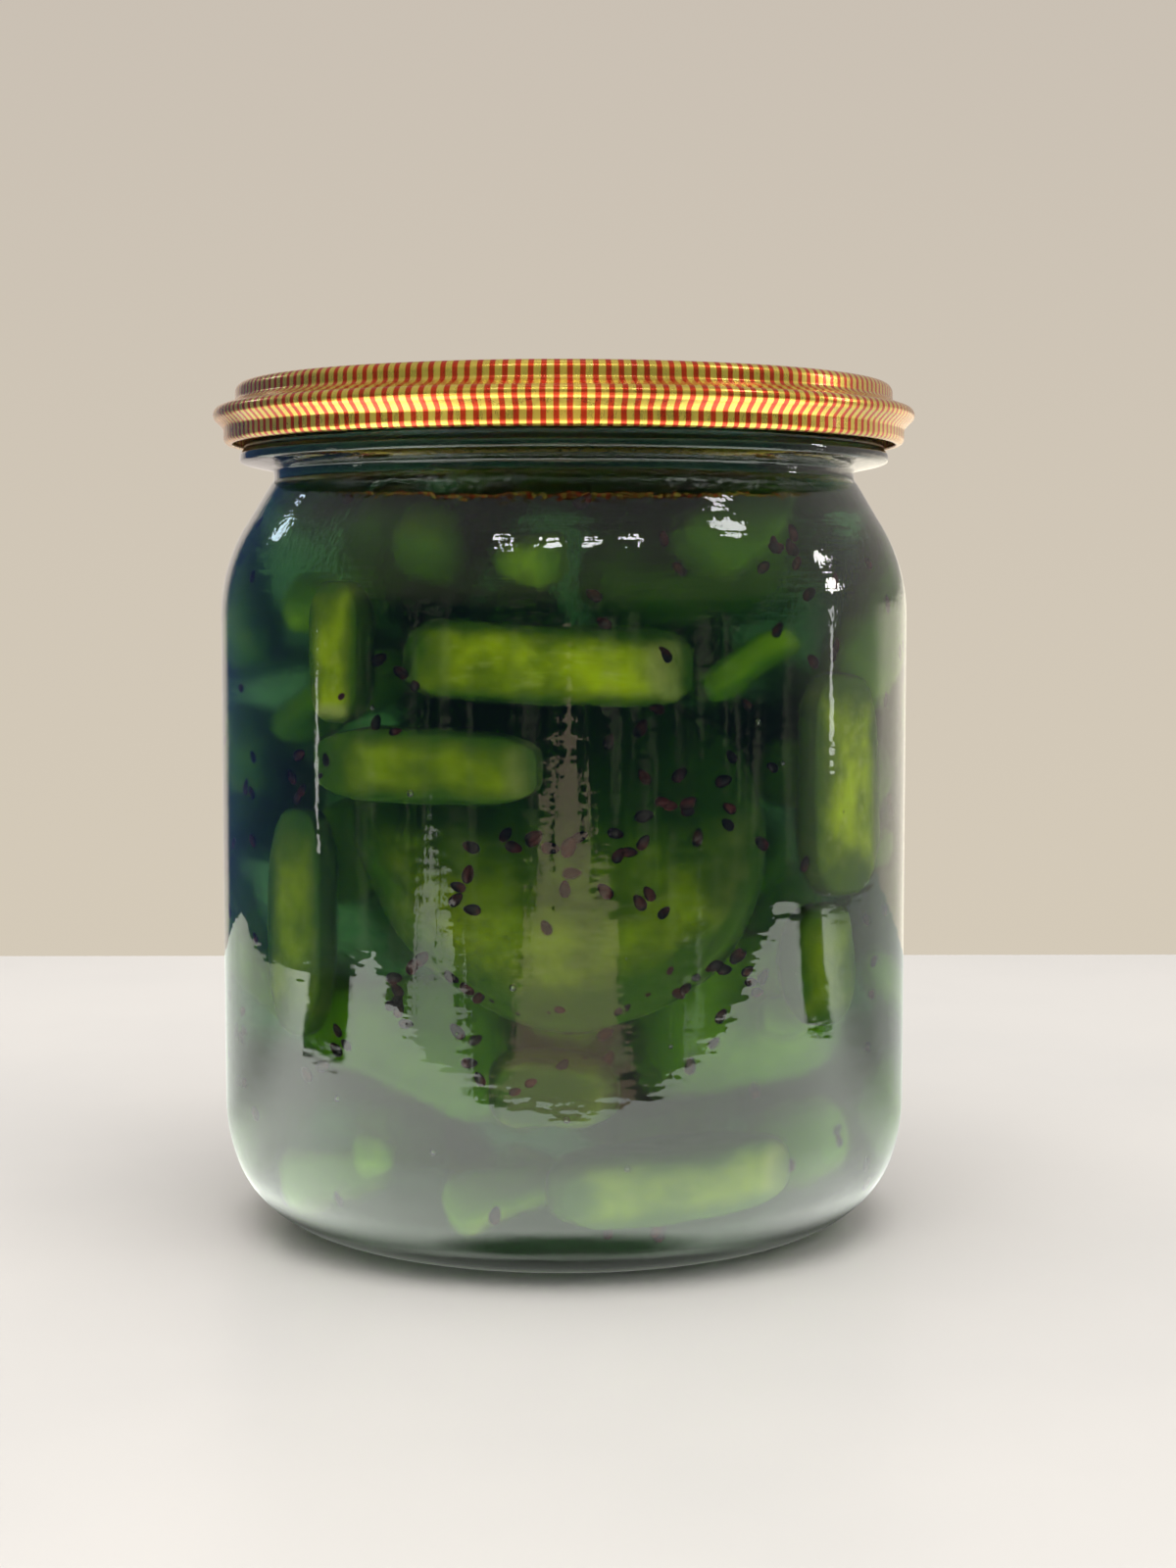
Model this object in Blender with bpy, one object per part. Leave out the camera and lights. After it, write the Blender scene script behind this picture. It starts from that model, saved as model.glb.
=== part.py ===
# A squat round preserve jar of clear glass, shut with a press-on striped metal lid and filled
# with green fruit jam. The jar stands on z = 0, and the origin is the centre of its base.
# Glass, lid and jam are turned about Z. A profile is a list of (radius, height) points.
# The side that the jar shows is -Y.

import math

import bmesh
import bpy
from mathutils import Euler, Matrix, Vector

MM = 0.001

# Sides of every turned piece, and the clear gap between pieces that touch
SIDES = 56
GAP = 0.3 * MM

# Jar: body, heel that turns in slowly and then tightly, and hollow foot
BODY_RADIUS = 44.0 * MM
BODY_BOTTOM = 16.0 * MM
BODY_TOP = 78.0 * MM
HEEL_UPPER_RADIUS = 22.0 * MM
HEEL_UPPER_SWEEP_DEG = 20.0
FOOT_RING_WIDTH = 2.2 * MM
FOOT_RING_FLARE = 0.8 * MM
PUSH_UP = 1.8 * MM

# Jar: shoulder, mould ridge, neck and the wide flange that the lid grips
SHOULDER_BEND_RADIUS = 22.0 * MM
SHOULDER_SLOPE_DEG = 34.0
NECK_RADIUS = 37.2 * MM
RIDGE_RADIUS = 37.6 * MM
RIDGE_HEIGHT = 94.7 * MM
NECK_TOP = 96.4 * MM
FLANGE_RADIUS = 41.5 * MM
FLANGE_BOTTOM = 97.3 * MM
FLANGE_TOP = 98.4 * MM
FLANGE_CHAMFER = 0.6 * MM
RIM_RADIUS = 41.0 * MM
RIM_TOP = 105.5 * MM
RIM_ROUNDING = 0.8 * MM

# Jar: the inside
BORE_RADIUS = 34.0 * MM
WALL = 2.6 * MM
BASE_THICKNESS = 4.6 * MM
INNER_HEEL_RADIUS = 9.0 * MM

# Lid: sheet, panel, band, bead and turned-in edge, top to bottom
SHEET = 0.5 * MM
LID_TOP = 107.25 * MM
PANEL_DEPTH = 0.7 * MM
PANEL_RADIUS = 36.5 * MM
PANEL_SLOPE_WIDTH = 1.2 * MM
BAND_RADIUS = 42.0 * MM
BAND_CORNER_RADIUS = 1.1 * MM
LEDGE_HEIGHT = 104.9 * MM
LEDGE_FILLET = 0.35 * MM
BEAD_RADIUS = 44.8 * MM
BEAD_NOSE_RADIUS = 1.0 * MM
BEAD_HEIGHT = 103.3 * MM
SKIRT_RADIUS = 43.5 * MM
SKIRT_TOP = 101.6 * MM
SKIRT_BOTTOM = 100.4 * MM
EDGE_CURL_RADIUS = 0.8 * MM

# Jam: the level it is filled to, just above the lid's lower edge
FILL_HEIGHT = 101.2 * MM

# Fruit: how far the edge of a slice is rounded, and how uneven its outline is
FRUIT_ROUNDING = 1.6 * MM
FRUIT_SIDES = 20
UNEVENNESS = 0.035

# Fruit that lies against the glass: name, (length, depth, thickness) in mm, outline power,
# centre in mm, and rotation in degrees about X, Y and Z
FRUIT = (
    ("fruit_slab_top", (31, 18, 9), 3.0, (-2.0, -32.3, 72.6), (0, 2, -3)),
    ("fruit_slab_left", (16, 9, 7), 3.0, (-25.0, -29.8, 74.0), (0, 90, -40)),
    ("fruit_slab_middle", (27, 8, 9), 3.5, (-15.5, -35.2, 60.8), (0, 2, -18)),
    ("fruit_slice_round", (44, 47, 7), 2.0, (0.0, -27.5, 51.0), (54, 0, 0)),
    ("fruit_wedge_right", (14, 26, 7), 3.0, (31.5, -23.0, 58.0), (90, 0, 54)),
    ("fruit_wedge_right_low", (11, 14, 7), 2.6, (29.0, -26.1, 36.5), (84, 0, 48)),
    ("fruit_wedge_left_low", (10, 27, 7), 3.0, (-30.0, -25.2, 41.5), (90, 0, -50)),
    ("fruit_chunk_low", (14, 12, 8), 2.6, (-1.5, -36.6, 23.4), (6, 0, -3)),
    ("fruit_slab_base", (27, 14, 8), 2.8, (12.0, -33.0, 12.4), (4, -3, 19)),
)


def arc(centre, radius, start_deg, end_deg, steps):
    """Points of a round stretch of a profile, both ends included."""
    points = []
    for step in range(steps + 1):
        angle = math.radians(start_deg + (end_deg - start_deg) * step / steps)
        points.append((centre[0] + radius * math.cos(angle), centre[1] + radius * math.sin(angle)))
    return points


def offset(profile, distance):
    """The same profile moved sideways, to the right of its run, by a distance."""
    moved = []
    for index, point in enumerate(profile):
        before = Vector(profile[max(index - 1, 0)])
        after = Vector(profile[min(index + 1, len(profile) - 1)])
        here = Vector(point)
        runs = [run.normalized() for run in (here - before, after - here) if run.length > 0]
        normals = [Vector((run.y, -run.x)) for run in runs]
        mean = sum(normals, Vector((0, 0))).normalized()
        moved.append(tuple(here + mean * distance / max(mean.dot(normals[0]), 0.5)))
    return moved


def material(name, colour, roughness, metallic=0.0, transmission=0.0):
    """A Principled material, or the one of that name made before."""
    found = bpy.data.materials.get(name)
    if found:
        return found
    made = bpy.data.materials.new(name)
    made.use_nodes = True
    shader = made.node_tree.nodes["Principled BSDF"]
    shader.inputs["Base Color"].default_value = (*colour, 1.0)
    shader.inputs["Roughness"].default_value = roughness
    shader.inputs["Metallic"].default_value = metallic
    shader.inputs["Transmission Weight"].default_value = transmission
    made.diffuse_color = (*colour, 1.0)
    return made


def add_object(name, mesh_data, surface):
    """An object in the scene with smooth shading and one material."""
    mesh_data.materials.append(surface)
    mesh_data.shade_smooth()
    mesh_data.set_sharp_from_angle(angle=math.radians(35))
    made = bpy.data.objects.new(name, mesh_data)
    bpy.context.scene.collection.objects.link(made)
    return made


def turned(name, profile, surface):
    """A solid turned about Z from a profile that starts and ends on the axis."""
    shape = bmesh.new()
    corners = [shape.verts.new((radius, 0.0, height)) for radius, height in profile]
    edges = [shape.edges.new(run) for run in zip(corners, corners[1:])]
    bmesh.ops.spin(
        shape,
        geom=corners + edges,
        cent=(0, 0, 0),
        axis=(0, 0, 1),
        angle=math.tau,
        steps=SIDES,
        use_merge=True,
    )
    bmesh.ops.remove_doubles(shape, verts=shape.verts, dist=0.001 * MM)
    bmesh.ops.recalc_face_normals(shape, faces=shape.faces)
    mesh_data = bpy.data.meshes.new(name)
    shape.to_mesh(mesh_data)
    shape.free()
    return add_object(name, mesh_data, surface)


def shoulder(radius, top_radius, bend_radius, body_top):
    """From a straight wall inwards: a round bend, then a slope up to the top radius."""
    centre = (radius - bend_radius, body_top)
    bend = arc(centre, bend_radius, 0, SHOULDER_SLOPE_DEG, 4)
    end_radius, end_height = bend[-1]
    rise = (end_radius - top_radius) / math.tan(math.radians(SHOULDER_SLOPE_DEG))
    return bend + [(top_radius, end_height + rise)]


def outer_heel():
    """From the foot ring outwards: a tight arc, then a wide one that runs into the straight wall."""
    wide_centre = (BODY_RADIUS - HEEL_UPPER_RADIUS, BODY_BOTTOM)
    wide = arc(wide_centre, HEEL_UPPER_RADIUS, -HEEL_UPPER_SWEEP_DEG, 0, 2)
    sweep = math.radians(HEEL_UPPER_SWEEP_DEG)
    join_radius, join_height = wide[0]
    tight_radius = join_height / (1 - math.sin(sweep))
    tight_centre = (join_radius - tight_radius * math.cos(sweep), tight_radius)
    return arc(tight_centre, tight_radius, -90, -HEEL_UPPER_SWEEP_DEG, 5)[:-1] + wide


def glass_outside():
    """The jar's outer profile, from the middle of its base up, over the rim and into the bore."""
    heel = outer_heel()
    ring_inner = heel[0][0] - FOOT_RING_WIDTH
    foot = [
        (0.0, PUSH_UP),
        (0.8 * ring_inner, 0.9 * PUSH_UP),
        (ring_inner - FOOT_RING_FLARE, 0.4 * PUSH_UP),
        (ring_inner, 0.0),
    ]
    top = shoulder(BODY_RADIUS, NECK_RADIUS, SHOULDER_BEND_RADIUS, BODY_TOP)
    ridge = [
        (RIDGE_RADIUS, RIDGE_HEIGHT),
        (NECK_RADIUS, RIDGE_HEIGHT + RIDGE_RADIUS - NECK_RADIUS),
    ]
    flange = [
        (NECK_RADIUS, NECK_TOP),
        (FLANGE_RADIUS - FLANGE_CHAMFER, FLANGE_BOTTOM - 0.2 * FLANGE_CHAMFER),
        (FLANGE_RADIUS, FLANGE_BOTTOM + 0.3 * FLANGE_CHAMFER),
        (FLANGE_RADIUS, FLANGE_TOP),
        (RIM_RADIUS, FLANGE_TOP + FLANGE_CHAMFER),
    ]
    rim = [
        (RIM_RADIUS, RIM_TOP - RIM_ROUNDING),
        (RIM_RADIUS - RIM_ROUNDING, RIM_TOP),
        (BORE_RADIUS + RIM_ROUNDING, RIM_TOP),
        (BORE_RADIUS, RIM_TOP - RIM_ROUNDING),
    ]
    return foot + heel + top[:-1] + ridge + flange + rim


def inside(clearance):
    """The jar's inner profile from the bore down to the middle of the base, moved inwards."""
    inner_radius = BODY_RADIUS - WALL - clearance
    heel_radius = INNER_HEEL_RADIUS - clearance
    floor_height = BASE_THICKNESS + clearance
    bore = BORE_RADIUS - clearance
    top = shoulder(inner_radius, bore, SHOULDER_BEND_RADIUS - WALL - clearance, BODY_TOP)
    heel = arc((inner_radius - heel_radius, floor_height + heel_radius), heel_radius, 0, -90, 4)
    return top[::-1] + heel + [(0.0, floor_height)]


def lid_outside():
    """The lid's outer profile, from the middle of its panel down to the turned-in edge."""
    panel = [
        (0.0, LID_TOP - PANEL_DEPTH),
        (PANEL_RADIUS, LID_TOP - PANEL_DEPTH),
        (PANEL_RADIUS + PANEL_SLOPE_WIDTH, LID_TOP),
    ]
    corner_centre = (BAND_RADIUS - BAND_CORNER_RADIUS, LID_TOP - BAND_CORNER_RADIUS)
    corner = arc(corner_centre, BAND_CORNER_RADIUS, 90, 0, 3)
    ledge = [
        (BAND_RADIUS, LEDGE_HEIGHT + LEDGE_FILLET),
        (BAND_RADIUS + LEDGE_FILLET, LEDGE_HEIGHT),
    ]
    nose_centre = (BEAD_RADIUS - BEAD_NOSE_RADIUS, BEAD_HEIGHT)
    nose = arc(nose_centre, BEAD_NOSE_RADIUS, 80, -60, 4)
    curl_centre = (SKIRT_RADIUS - EDGE_CURL_RADIUS, SKIRT_BOTTOM)
    curl = arc(curl_centre, EDGE_CURL_RADIUS, 0, -110, 3)
    return panel + corner + ledge + nose + [(SKIRT_RADIUS, SKIRT_TOP)] + curl


def fruit_outline(length, depth, power, phase):
    """A slightly uneven superellipse: power 2 is a round slice, 4 a slab with round corners."""
    points = []
    for step in range(FRUIT_SIDES):
        angle = math.tau * step / FRUIT_SIDES
        across = math.copysign(abs(math.cos(angle)) ** (2 / power), math.cos(angle))
        along = math.copysign(abs(math.sin(angle)) ** (2 / power), math.sin(angle))
        swell = 1 + UNEVENNESS * (math.sin(2 * angle + phase) + 0.6 * math.sin(3 * angle + 2 * phase))
        points.append(Vector((0.5 * length * across * swell, 0.5 * depth * along * swell, 0.0)))
    return points


def fruit_shape(name, size, power, phase, clearance, surface):
    """A slice or slab of fruit with rounded edges, grown by a clearance on every side."""
    length, depth, thickness = size
    shape = bmesh.new()
    outline = fruit_outline(length + 2 * clearance, depth + 2 * clearance, power, phase)
    half = 0.5 * thickness + clearance
    floor = [shape.verts.new(point - Vector((0, 0, half))) for point in outline]
    face = shape.faces.new(floor)
    lifted = bmesh.ops.extrude_face_region(shape, geom=[face])["geom"]
    top = [item for item in lifted if isinstance(item, bmesh.types.BMVert)]
    bmesh.ops.translate(shape, verts=top, vec=(0, 0, 2 * half))
    rims = [edge for edge in shape.edges if abs(edge.verts[0].co.z - edge.verts[1].co.z) < half]
    bmesh.ops.bevel(shape, geom=rims, offset=FRUIT_ROUNDING, segments=2, affect="EDGES", profile=0.5)
    bmesh.ops.recalc_face_normals(shape, faces=shape.faces)
    mesh_data = bpy.data.meshes.new(name)
    shape.to_mesh(mesh_data)
    shape.free()
    return add_object(name, mesh_data, surface)


def cut(target, tool, operation):
    """A Boolean modifier on the target, with the tool kept as a hidden guide."""
    modifier = target.modifiers.new(operation.title(), "BOOLEAN")
    modifier.operation = operation
    modifier.solver = "EXACT"
    modifier.object = tool
    tool.hide_render = True
    tool.display_type = "WIRE"


def remove_everything():
    """Start from an empty scene."""
    for old in list(bpy.data.objects):
        bpy.data.objects.remove(old, do_unlink=True)


def build_glass():
    """The jar: one blown and pressed body of clear glass, open at the mouth."""
    surface = material("clear_glass", (0.86, 0.92, 0.88), 0.03, transmission=1.0)
    turned("jar_glass", glass_outside() + inside(0.0), surface)


def build_lid():
    """The lid: one pressing of thin lacquered sheet metal, with both faces."""
    surface = material("striped_lacquered_metal", (0.62, 0.30, 0.05), 0.3, metallic=0.9)
    outer = lid_outside()
    inner = offset(outer, SHEET)
    inner[0] = (0.0, outer[0][1] - SHEET)
    turned("lid", outer + inner[::-1], surface)


def contents_profile():
    """What fills the jar: from the middle of the flat top down the wall to the floor."""
    return [(0.0, FILL_HEIGHT), (BORE_RADIUS - GAP, FILL_HEIGHT)] + inside(GAP)


def build_jam():
    """The jelly, and the pieces of fruit against the glass, each in its own close pocket."""
    jelly = material("green_jelly", (0.02, 0.07, 0.02), 0.08)
    flesh = material("green_fruit", (0.16, 0.24, 0.01), 0.4)
    jam = turned("jam", contents_profile(), jelly)
    filling = turned("filling_guide", contents_profile(), jelly)
    for index, (name, size, power, centre, degrees) in enumerate(FRUIT):
        size_m = [value * MM for value in size]
        turn = Euler([math.radians(value) for value in degrees]).to_matrix().to_4x4()
        place = Matrix.Translation(Vector(centre) * MM) @ turn
        piece = fruit_shape(name, size_m, power, index, 0.0, flesh)
        pocket = fruit_shape(name + "_pocket", size_m, power, index, GAP, flesh)
        piece.matrix_world = place
        pocket.matrix_world = place
        cut(piece, filling, "INTERSECT")
        cut(jam, pocket, "DIFFERENCE")


remove_everything()
build_glass()
build_lid()
build_jam()
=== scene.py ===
import math
import random
from math import radians

import bmesh
import bpy
import numpy
from mathutils import Euler, Matrix, Vector, noise


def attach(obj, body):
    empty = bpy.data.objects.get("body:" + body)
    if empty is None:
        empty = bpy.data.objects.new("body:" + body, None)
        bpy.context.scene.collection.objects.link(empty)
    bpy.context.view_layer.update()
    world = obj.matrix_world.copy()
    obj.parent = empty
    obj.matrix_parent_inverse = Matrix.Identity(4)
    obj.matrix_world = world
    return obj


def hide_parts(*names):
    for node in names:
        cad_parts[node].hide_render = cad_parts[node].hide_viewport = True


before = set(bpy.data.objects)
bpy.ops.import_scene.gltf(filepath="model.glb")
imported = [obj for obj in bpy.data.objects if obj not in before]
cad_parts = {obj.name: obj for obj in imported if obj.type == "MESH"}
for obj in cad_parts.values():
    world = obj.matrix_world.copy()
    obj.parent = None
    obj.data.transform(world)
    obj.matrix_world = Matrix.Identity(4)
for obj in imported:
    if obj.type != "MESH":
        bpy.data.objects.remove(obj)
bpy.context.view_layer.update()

scene = bpy.context.scene


# Glass jar: one squat round body of clear soda-lime glass, blown and pressed in a mould, open at
# the mouth. It has a hollow foot, a thick base, a straight wall, a long shoulder, a faint mould
# ridge on the neck and a wide flange that the lid grips.
MM = 0.001
SIDES_ROUND = 288
BODY_RADIUS = 44.0 * MM
BODY_BOTTOM = 16.0 * MM
BODY_TOP = 78.0 * MM
HEEL_UPPER_RADIUS = 22.0 * MM
HEEL_UPPER_SWEEP_DEG = 20.0
FOOT_RING_WIDTH = 2.2 * MM
FOOT_RING_FLARE = 0.8 * MM
PUSH_UP = 1.8 * MM
SHOULDER_BEND_RADIUS = 22.0 * MM
SHOULDER_SLOPE_DEG = 34.0
NECK_RADIUS = 37.2 * MM
RIDGE_RADIUS = 37.6 * MM
RIDGE_HEIGHT = 94.7 * MM
NECK_TOP = 96.4 * MM
FLANGE_RADIUS = 41.5 * MM
FLANGE_BOTTOM = 97.3 * MM
FLANGE_TOP = 98.4 * MM
FLANGE_CHAMFER = 0.6 * MM
RIM_RADIUS = 41.0 * MM
RIM_TOP = 105.5 * MM
RIM_ROUNDING = 0.8 * MM
BORE_RADIUS = 34.0 * MM
WALL = 2.6 * MM
BASE_THICKNESS = 4.6 * MM
INNER_HEEL_RADIUS = 9.0 * MM
LONGEST_RUN = 1.6 * MM
WALL_SWELL = 0.07 * MM
FINE_SWELL = 0.035 * MM


def arc(centre, radius, start_deg, end_deg, steps):
    """Points of a round stretch of a profile, both ends included."""
    points = []
    for step in range(steps + 1):
        angle = radians(start_deg + (end_deg - start_deg) * step / steps)
        points.append((centre[0] + radius * math.cos(angle), centre[1] + radius * math.sin(angle)))
    return points


def softened(corners, steps=4):
    """A profile whose corners (radius, height, softening) become short curves."""
    points = []
    for index, (radius, height, softening) in enumerate(corners):
        here = Vector((radius, height))
        if softening <= 0 or index in (0, len(corners) - 1):
            points.append(tuple(here))
            continue
        back = Vector(corners[index - 1][:2]) - here
        ahead = Vector(corners[index + 1][:2]) - here
        start = here + back.normalized() * min(softening, 0.45 * back.length)
        end = here + ahead.normalized() * min(softening, 0.45 * ahead.length)
        for step in range(steps + 1):
            t = step / steps
            points.append(tuple(start * (1 - t) ** 2 + here * (2 * t * (1 - t)) + end * t**2))
    return points


def drawn_out(profile, longest):
    """The same profile with its long straight runs cut into short ones."""
    points = [profile[0]]
    for start, end in zip(profile, profile[1:]):
        pieces = max(1, math.ceil(math.dist(start, end) / longest))
        for step in range(1, pieces + 1):
            t = step / pieces
            points.append((start[0] + (end[0] - start[0]) * t, start[1] + (end[1] - start[1]) * t))
    return points


def link_mesh(name, vertices, faces, materials=(), face_slots=None):
    """A smooth shaded object from points and faces, with outward normals."""
    data = bpy.data.meshes.new(name)
    data.from_pydata([tuple(point) for point in vertices], [], faces)
    for surface in materials:
        data.materials.append(surface)
    if face_slots is not None:
        data.polygons.foreach_set("material_index", face_slots)
    shape = bmesh.new()
    shape.from_mesh(data)
    bmesh.ops.recalc_face_normals(shape, faces=shape.faces)
    shape.to_mesh(data)
    shape.free()
    data.shade_smooth()
    piece = bpy.data.objects.new(name, data)
    scene.collection.objects.link(piece)
    return piece


def turned(name, profile, materials=(), slot_of_run=None, sides=SIDES_ROUND):
    """A solid turned about Z from a profile that starts and ends on the axis."""
    vertices = []
    rings = []
    for radius, height in profile:
        if radius < 1e-7:
            rings.append([len(vertices)])
            vertices.append((0.0, 0.0, height))
            continue
        rings.append(list(range(len(vertices), len(vertices) + sides)))
        for side in range(sides):
            angle = math.tau * side / sides
            vertices.append((radius * math.cos(angle), radius * math.sin(angle), height))
    faces = []
    slots = []
    for run, (low, high) in enumerate(zip(rings, rings[1:])):
        for side in range(sides):
            after = (side + 1) % sides
            if len(low) == 1:
                faces.append((low[0], high[after], high[side]))
            elif len(high) == 1:
                faces.append((low[side], low[after], high[0]))
            else:
                faces.append((low[side], low[after], high[after], high[side]))
            slots.append(slot_of_run(run) if slot_of_run else 0)
    return link_mesh(name, vertices, faces, materials, slots)


def shoulder(radius, top_radius, bend_radius, body_top, steps=14):
    """From a straight wall inwards: a round bend, then a slope up to the top radius."""
    centre = (radius - bend_radius, body_top)
    bend = arc(centre, bend_radius, 0, SHOULDER_SLOPE_DEG, steps)
    end_radius, end_height = bend[-1]
    rise = (end_radius - top_radius) / math.tan(radians(SHOULDER_SLOPE_DEG))
    return bend + [(top_radius, end_height + rise)]


def outer_heel():
    """From the foot ring outwards: a tight arc, then a wide one into the straight wall."""
    wide_centre = (BODY_RADIUS - HEEL_UPPER_RADIUS, BODY_BOTTOM)
    wide = arc(wide_centre, HEEL_UPPER_RADIUS, -HEEL_UPPER_SWEEP_DEG, 0, 6)
    sweep = radians(HEEL_UPPER_SWEEP_DEG)
    join_radius, join_height = wide[0]
    tight_radius = join_height / (1 - math.sin(sweep))
    tight_centre = (join_radius - tight_radius * math.cos(sweep), tight_radius)
    return arc(tight_centre, tight_radius, -90, -HEEL_UPPER_SWEEP_DEG, 18)[:-1] + wide


def glass_outside():
    """The outer profile, from the middle of the base up to the rim."""
    heel = outer_heel()
    ring_inner = heel[0][0] - FOOT_RING_WIDTH
    foot = softened(
        [
            (0.0, PUSH_UP, 0),
            (0.8 * ring_inner, 0.9 * PUSH_UP, 4 * MM),
            (ring_inner - FOOT_RING_FLARE, 0.4 * PUSH_UP, 0.5 * MM),
            (ring_inner, 0.0, 0.4 * MM),
            (heel[0][0], 0.0, 0),
        ]
    )
    wall = shoulder(BODY_RADIUS, NECK_RADIUS, SHOULDER_BEND_RADIUS, BODY_TOP)
    neck = softened(
        [
            (*wall[-2], 0),
            (RIDGE_RADIUS, RIDGE_HEIGHT, 0.35 * MM),
            (NECK_RADIUS, RIDGE_HEIGHT + RIDGE_RADIUS - NECK_RADIUS, 0.3 * MM),
            (NECK_RADIUS, NECK_TOP, 0.45 * MM),
            (FLANGE_RADIUS - FLANGE_CHAMFER, FLANGE_BOTTOM - 0.2 * FLANGE_CHAMFER, 0.3 * MM),
            (FLANGE_RADIUS, FLANGE_BOTTOM + 0.3 * FLANGE_CHAMFER, 0.25 * MM),
            (FLANGE_RADIUS, FLANGE_TOP, 0.3 * MM),
            (RIM_RADIUS, FLANGE_TOP + FLANGE_CHAMFER, 0.2 * MM),
            (RIM_RADIUS, RIM_TOP - RIM_ROUNDING, 0.6 * MM),
            (RIM_RADIUS - RIM_ROUNDING, RIM_TOP, 0.6 * MM),
            (BORE_RADIUS + RIM_ROUNDING, RIM_TOP, 0.6 * MM),
            (BORE_RADIUS, RIM_TOP - RIM_ROUNDING, 0),
        ]
    )
    return foot[:-1] + heel + wall[:-2] + neck


def inside(clearance):
    """The inner profile from the bore down to the middle of the base, moved inwards."""
    inner_radius = BODY_RADIUS - WALL - clearance
    heel_radius = INNER_HEEL_RADIUS - clearance
    floor_height = BASE_THICKNESS + clearance
    bore = BORE_RADIUS - clearance
    top = shoulder(inner_radius, bore, SHOULDER_BEND_RADIUS - WALL - clearance, BODY_TOP)
    heel = arc((inner_radius - heel_radius, floor_height + heel_radius), heel_radius, 0, -90, 12)
    return top[::-1] + heel + [(0.0, floor_height)]


def math_of(tree, operation, first, second=0.0, third=None):
    """The output of a Math node over sockets or plain numbers."""
    made = tree.nodes.new("ShaderNodeMath")
    made.operation = operation
    values = [first, second] if third is None else [first, second, third]
    for socket, value in zip(made.inputs, values):
        if isinstance(value, (int, float)):
            socket.default_value = value
        else:
            tree.links.new(value, socket)
    return made.outputs[0]


def product(tree, first, *others):
    """Several sockets or plain numbers multiplied."""
    for other in others:
        first = math_of(tree, "MULTIPLY", first, other)
    return first


def split(tree, coordinates):
    """The X, Y and Z values of coordinates."""
    made = tree.nodes.new("ShaderNodeSeparateXYZ")
    tree.links.new(coordinates, made.inputs[0])
    return made.outputs


def mixed(tree, mask, low, high):
    """A colour between two, by a mask."""
    made = tree.nodes.new("ShaderNodeMix")
    made.data_type = "RGBA"
    made.clamp_factor = False
    for socket, value in ((made.inputs[0], mask), (made.inputs[6], low), (made.inputs[7], high)):
        if isinstance(value, (int, float)):
            socket.default_value = value
        elif isinstance(value, tuple):
            socket.default_value = (*value, 1.0)
        else:
            tree.links.new(value, socket)
    return made.outputs[2]


def noise_of(tree, coordinates, scale, detail=2.0, roughness=0.5, stretch=(1, 1, 1)):
    """The value of a noise texture in metres, stretched along the axes."""
    mapping = tree.nodes.new("ShaderNodeMapping")
    mapping.inputs["Scale"].default_value = stretch
    tree.links.new(coordinates, mapping.inputs["Vector"])
    made = tree.nodes.new("ShaderNodeTexNoise")
    made.inputs["Scale"].default_value = scale
    made.inputs["Detail"].default_value = detail
    made.inputs["Roughness"].default_value = roughness
    tree.links.new(mapping.outputs[0], made.inputs["Vector"])
    return made.outputs["Fac"]


def new_group(name, inputs, outputs):
    """An empty shader node group with named sockets."""
    group = bpy.data.node_groups.new(name, "ShaderNodeTree")
    for label, kind in inputs:
        group.interface.new_socket(label, in_out="INPUT", socket_type=kind)
    for label, kind in outputs:
        group.interface.new_socket(label, in_out="OUTPUT", socket_type=kind)
    return group, group.nodes.new("NodeGroupInput"), group.nodes.new("NodeGroupOutput")


def new_material(name):
    """A material with its tree, its Principled shader and its object coordinates."""
    made = bpy.data.materials.new(name)
    made.use_nodes = True
    tree = made.node_tree
    shader = tree.nodes["Principled BSDF"]
    place = tree.nodes.new("ShaderNodeTexCoord")
    return made, tree, shader, place.outputs["Object"]


def ranged(tree, value, low, high, to_low=0.0, to_high=1.0):
    """A value moved from one range to another, clamped."""
    made = tree.nodes.new("ShaderNodeMapRange")
    made.interpolation_type = "SMOOTHSTEP"
    tree.links.new(value, made.inputs["Value"])
    made.inputs["From Min"].default_value = low
    made.inputs["From Max"].default_value = high
    made.inputs["To Min"].default_value = to_low
    made.inputs["To Max"].default_value = to_high
    return made.outputs[0]


def placed(tree, group, place):
    """A node group set into a material, with the material's coordinates."""
    made = tree.nodes.new("ShaderNodeGroup")
    made.node_tree = group
    tree.links.new(place, made.inputs["Place"])
    return made


def finish(tree, shader, colour, roughness):
    """Feeds a colour and a roughness that change over the surface to the shader."""
    tree.links.new(colour, shader.inputs["Base Color"])
    tree.links.new(roughness, shader.inputs["Roughness"])


def bumped(tree, shader, height, strength, distance):
    """A Bump node between a height and the shader's normal."""
    made = tree.nodes.new("ShaderNodeBump")
    made.inputs["Strength"].default_value = strength
    made.inputs["Distance"].default_value = distance
    tree.links.new(height, made.inputs["Height"])
    tree.links.new(made.outputs[0], shader.inputs["Normal"])


# Upright streaks down the wall and level ripples round the shoulder, as moulded glass has
waviness, given, put_out = new_group(
    "moulded_glass_waviness",
    [
        ("Place", "NodeSocketVector"),
        ("Streaks", "NodeSocketFloat"),
        ("Ripples", "NodeSocketFloat"),
    ],
    [("Height", "NodeSocketFloat"), ("Smears", "NodeSocketFloat")],
)
place = given.outputs["Place"]
streaks = noise_of(waviness, place, 260.0, 2.0, 0.5, (1, 1, 0.1))
grains = noise_of(waviness, place, 1100.0, 1.0, 0.5, (1, 1, 0.7))
ragged = noise_of(waviness, place, 330.0, 1.4, 0.55, (0.6, 0.6, 1.7))
ripples = noise_of(waviness, place, 800.0, 2.0, 0.55, (0.10, 0.10, 1))
height = split(waviness, place)["Z"]
on_shoulder = ranged(waviness, height, 74 * MM, 82 * MM)
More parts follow.
